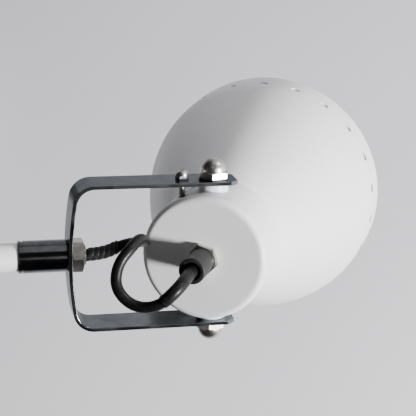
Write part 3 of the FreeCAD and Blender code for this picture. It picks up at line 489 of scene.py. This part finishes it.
def frames_along(line):
    """Each point with the direction ahead and two sideways directions that don't twist."""
    frames = []
    side = None
    for index, here in enumerate(line):
        before = line[max(index - 1, 0)]
        after = line[min(index + 1, len(line) - 1)]
        ahead = (after - before).normalized()
        side = ahead.orthogonal() if side is None else side - ahead * side.dot(ahead)
        side = side.normalized()
        frames.append((here, ahead, side, ahead.cross(side)))
    return frames


def lengths_along(line):
    """How far along the line each of its points is."""
    total = [0.0]
    for before, after in zip(line, line[1:]):
        total.append(total[-1] + (after - before).length)
    return total


def ring(where, radius, count, turn=0.0, shift=0.0):
    """Points round one place of a line. With a shift the ring leans, furthest ahead at -turn."""
    here, ahead, side, up = where
    points = []
    for index in range(count):
        angle = 2 * math.pi * index / count
        out = side * math.cos(angle) + up * math.sin(angle)
        points.append(here + out * radius + ahead * (shift * math.cos(angle + turn)))
    return points


def skin(rings):
    """Points and faces of a closed tube through rings of equal size."""
    count = len(rings[0])
    points = [point for one in rings for point in one]
    faces = []
    for row in range(len(rings) - 1):
        low = row * count
        for index in range(count):
            after = (index + 1) % count
            faces.append((low + index, low + after, low + count + after, low + count + index))
    faces.append(tuple(reversed(range(count))))
    faces.append(tuple(range(len(points) - count, len(points))))
    return points, faces


# ---- head cable --------------------------------------------------------------------------

# The route of the head cable in the yoke's axes, as in the CAD source: out of the nipple
# along the arm, up and back in a tight bight, round a loose loop, into the gland.
CABLE_ROUTE = [
    (-0.0590, 0.0, 0.0),
    (-0.0515, 0.0, 0.0),
    (-0.0420, 0.0045, 0.0010),
    (-0.0345, 0.0075, 0.0080),
    (-0.0340, 0.0100, 0.0180),
    (-0.0385, 0.0145, 0.0265),
    (-0.0430, 0.0130, 0.0340),
    (-0.0500, 0.0060, 0.0370),
    (-0.0515, -0.0040, 0.0400),
    (-0.0440, -0.0115, 0.0440),
    (-0.0340, -0.0100, 0.0495),
    (-0.0250, -0.0015, 0.0495),
    (-0.0195, 0.0, 0.0391),
    (-0.01442, 0.0, 0.02892),
]
ROUTE_STEPS = 48
CABLE_RADIUS = 0.0025

SLEEVE_LENGTH = 0.0150
SLEEVE_RADIUS = 0.0032
SLEEVE_TAPER = 0.05
GROOVE_DEPTH = 0.00028
GROOVE_PITCH = 0.0027
GROOVE_SHARPNESS = 6
GROOVE_LEAN = 0.0013
GROOVE_TURN = 0.6

BOOT_FROM = 0.001
BOOT_TO = 0.032
BOOT_RADIUS = 0.0029

CABLE_SIDES = 28
SLEEVE_SIDES = 32
SLEEVE_EDGE = 0.00005
BOOT_EDGE = 0.00002


def head_cable(line):
    """The flex: a tube along the whole route, baked in place and carried by no body."""
    rings = [ring(where, CABLE_RADIUS, CABLE_SIDES) for where in frames_along(line)]
    points, faces = skin(rings)
    cable = add_mesh("head_flex", points, faces, "cable_black")
    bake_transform(cable)
    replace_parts(cable, "head_cable")
    return cable


def strain_sleeve(line):
    """Short sleeve at the nut, with flat slanted ribs and narrow grooves between them."""
    frames = frames_along(line)
    rings = []
    for where, length in zip(frames, lengths_along(line)):
        if length > SLEEVE_LENGTH:
            break
        wave = 0.5 + 0.5 * math.cos(2 * math.pi * length / GROOVE_PITCH)
        taper = 1.0 - SLEEVE_TAPER * length / SLEEVE_LENGTH
        radius = (SLEEVE_RADIUS - GROOVE_DEPTH * wave ** GROOVE_SHARPNESS) * taper
        rings.append(ring(where, radius, SLEEVE_SIDES, turn=GROOVE_TURN, shift=GROOVE_LEAN))
    rings.append(ring(frames[len(rings)], CABLE_RADIUS + SLEEVE_EDGE, SLEEVE_SIDES))
    points, faces = skin(rings)
    sleeve = add_mesh("ribbed_strain_sleeve", points, faces, "black_plastic", "yoke")
    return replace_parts(sleeve, "ribbed_sleeve")


def gland_boot(line):
    """Smooth outer sheath over the end of the flex, cut square where the flex comes out."""
    back = list(reversed(line))
    pairs = zip(frames_along(back), lengths_along(back))
    covered = [where for where, length in pairs if BOOT_FROM < length < BOOT_TO]
    rings = [ring(where, BOOT_RADIUS, SLEEVE_SIDES) for where in covered]
    rings.append(ring(covered[-1], CABLE_RADIUS + BOOT_EDGE, SLEEVE_SIDES))
    points, faces = skin(rings)
    boot = add_mesh("flex_boot", points, faces, "cable_black", "head")
    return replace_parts(boot, "gland_boot")


def cable_assembly():
    """The flex with its sleeve and boot, all along the one spline of the route."""
    line = nurbs_line([yoke_point(*point) for point in CABLE_ROUTE], ROUTE_STEPS)
    cable = head_cable(line)
    pieces = [strain_sleeve(line), gland_boot(line)]


# ---- small pieces that the CAD keeps plain -----------------------------------------------

SPRING_COILS = 5
SPRING_STEPS = 36
SPRING_WIRE = 0.00035
SPRING_RADIUS = 0.0039
SPRING_GAP = 0.0005
SPRING_SIDES = 12

THREAD_PITCH = 0.00363
THREAD_DEPTH = 0.0005
THREAD_RADIUS = 0.0127
THREAD_TOP = -0.0036
THREAD_HEIGHT = 0.0204
THREAD_STEPS = 90
THREAD_FADE = 8
THREAD_SIDES = 72
# Radius, and height from the cap's top: the solder tip's cone, and the skirt under the thread.
CAP_TIP = [(0.0040, 0.0), (0.0070, -0.0019), (0.0118, -0.0032)]
CAP_SKIRT = [(0.0132, -0.0246), (0.0140, -0.0260)]


def button_spring():
    """Coil spring under the push button, made at one height and carried by the base."""
    low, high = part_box("switch_spring")
    up = -Vector(JOINTS["switch_press"]["axis"]).normalized()
    along = PIN.cross(up)
    height = high.z - low.z - SPRING_GAP
    foot = (low + high) / 2 - up * height / 2
    count = SPRING_COILS * SPRING_STEPS
    line = []
    for index in range(count + 1):
        angle = 2 * math.pi * index / SPRING_STEPS
        lift = SPRING_WIRE + (height - 2 * SPRING_WIRE) * index / count
        out = along * math.cos(angle) + PIN * math.sin(angle)
        line.append(foot + out * SPRING_RADIUS + up * lift)
    points, faces = skin([ring(where, SPRING_WIRE, SPRING_SIDES) for where in frames_along(line)])
    spring = add_mesh("button_coil_spring", points, faces, "zinc_steel", "base")
    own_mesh(spring)
    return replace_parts(spring, "switch_spring")


def bulb_thread():
    """Edison screw cap of the bulb: a tip, a rolled round thread that fades at its ends, a skirt."""
    low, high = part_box("bulb_cap")
    centre = (low + high) / 2
    rows = [(radius, height, 0.0) for radius, height in CAP_TIP]
    last = THREAD_STEPS - 1
    for index in range(THREAD_STEPS):
        height = THREAD_TOP - THREAD_HEIGHT * index / last
        fade = min(1.0, index / THREAD_FADE, (last - index) / THREAD_FADE)
        rows.append((THREAD_RADIUS, height, THREAD_DEPTH * fade))
    rows += [(radius, height, 0.0) for radius, height in CAP_SKIRT]
    rings = []
    for radius, height, depth in rows:
        points = []
        for index in reversed(range(THREAD_SIDES)):
            angle = 2 * math.pi * index / THREAD_SIDES
            out = radius + depth * math.cos(2 * math.pi * height / THREAD_PITCH - angle)
            points.append(Vector((centre.x + out * math.cos(angle),
                                  centre.y + out * math.sin(angle), high.z + height)))
        rings.append(points)
    points, faces = skin(rings)
    cap = add_mesh("bulb_screw_cap", points, faces, "bulb_metal", "head")
    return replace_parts(cap, "bulb_cap")


# ---- stage -------------------------------------------------------------------------------

FLOOR_REACH = 6.0
FLOOR_GAP = 0.0002


def make_floor():
    """The table top, just under the lamp."""
    reach = FLOOR_REACH
    mesh = bpy.data.meshes.new("floor")
    corners = [(-reach, -reach, 0.0), (reach, -reach, 0.0), (reach, reach, 0.0), (-reach, reach, 0.0)]
    mesh.from_pydata(corners, [], [(0, 1, 2, 3)])
    mesh.materials.append(floor_paper())
    floor = bpy.data.objects.new("floor", mesh)
    floor.location.z = cad_low.z - FLOOR_GAP
    bpy.context.scene.collection.objects.link(floor)


def paint_nodes():
    """Gives each CAD node the material of its slot."""
    for name, item in NODES.items():
        item.data.materials.clear()
        item.data.materials.append(MATERIALS[SLOT_OF[name]])


MATERIALS = make_materials()
make_camera()
make_lights()
cable_assembly()
paint_nodes()
button_spring()
bulb_thread()
make_floor()
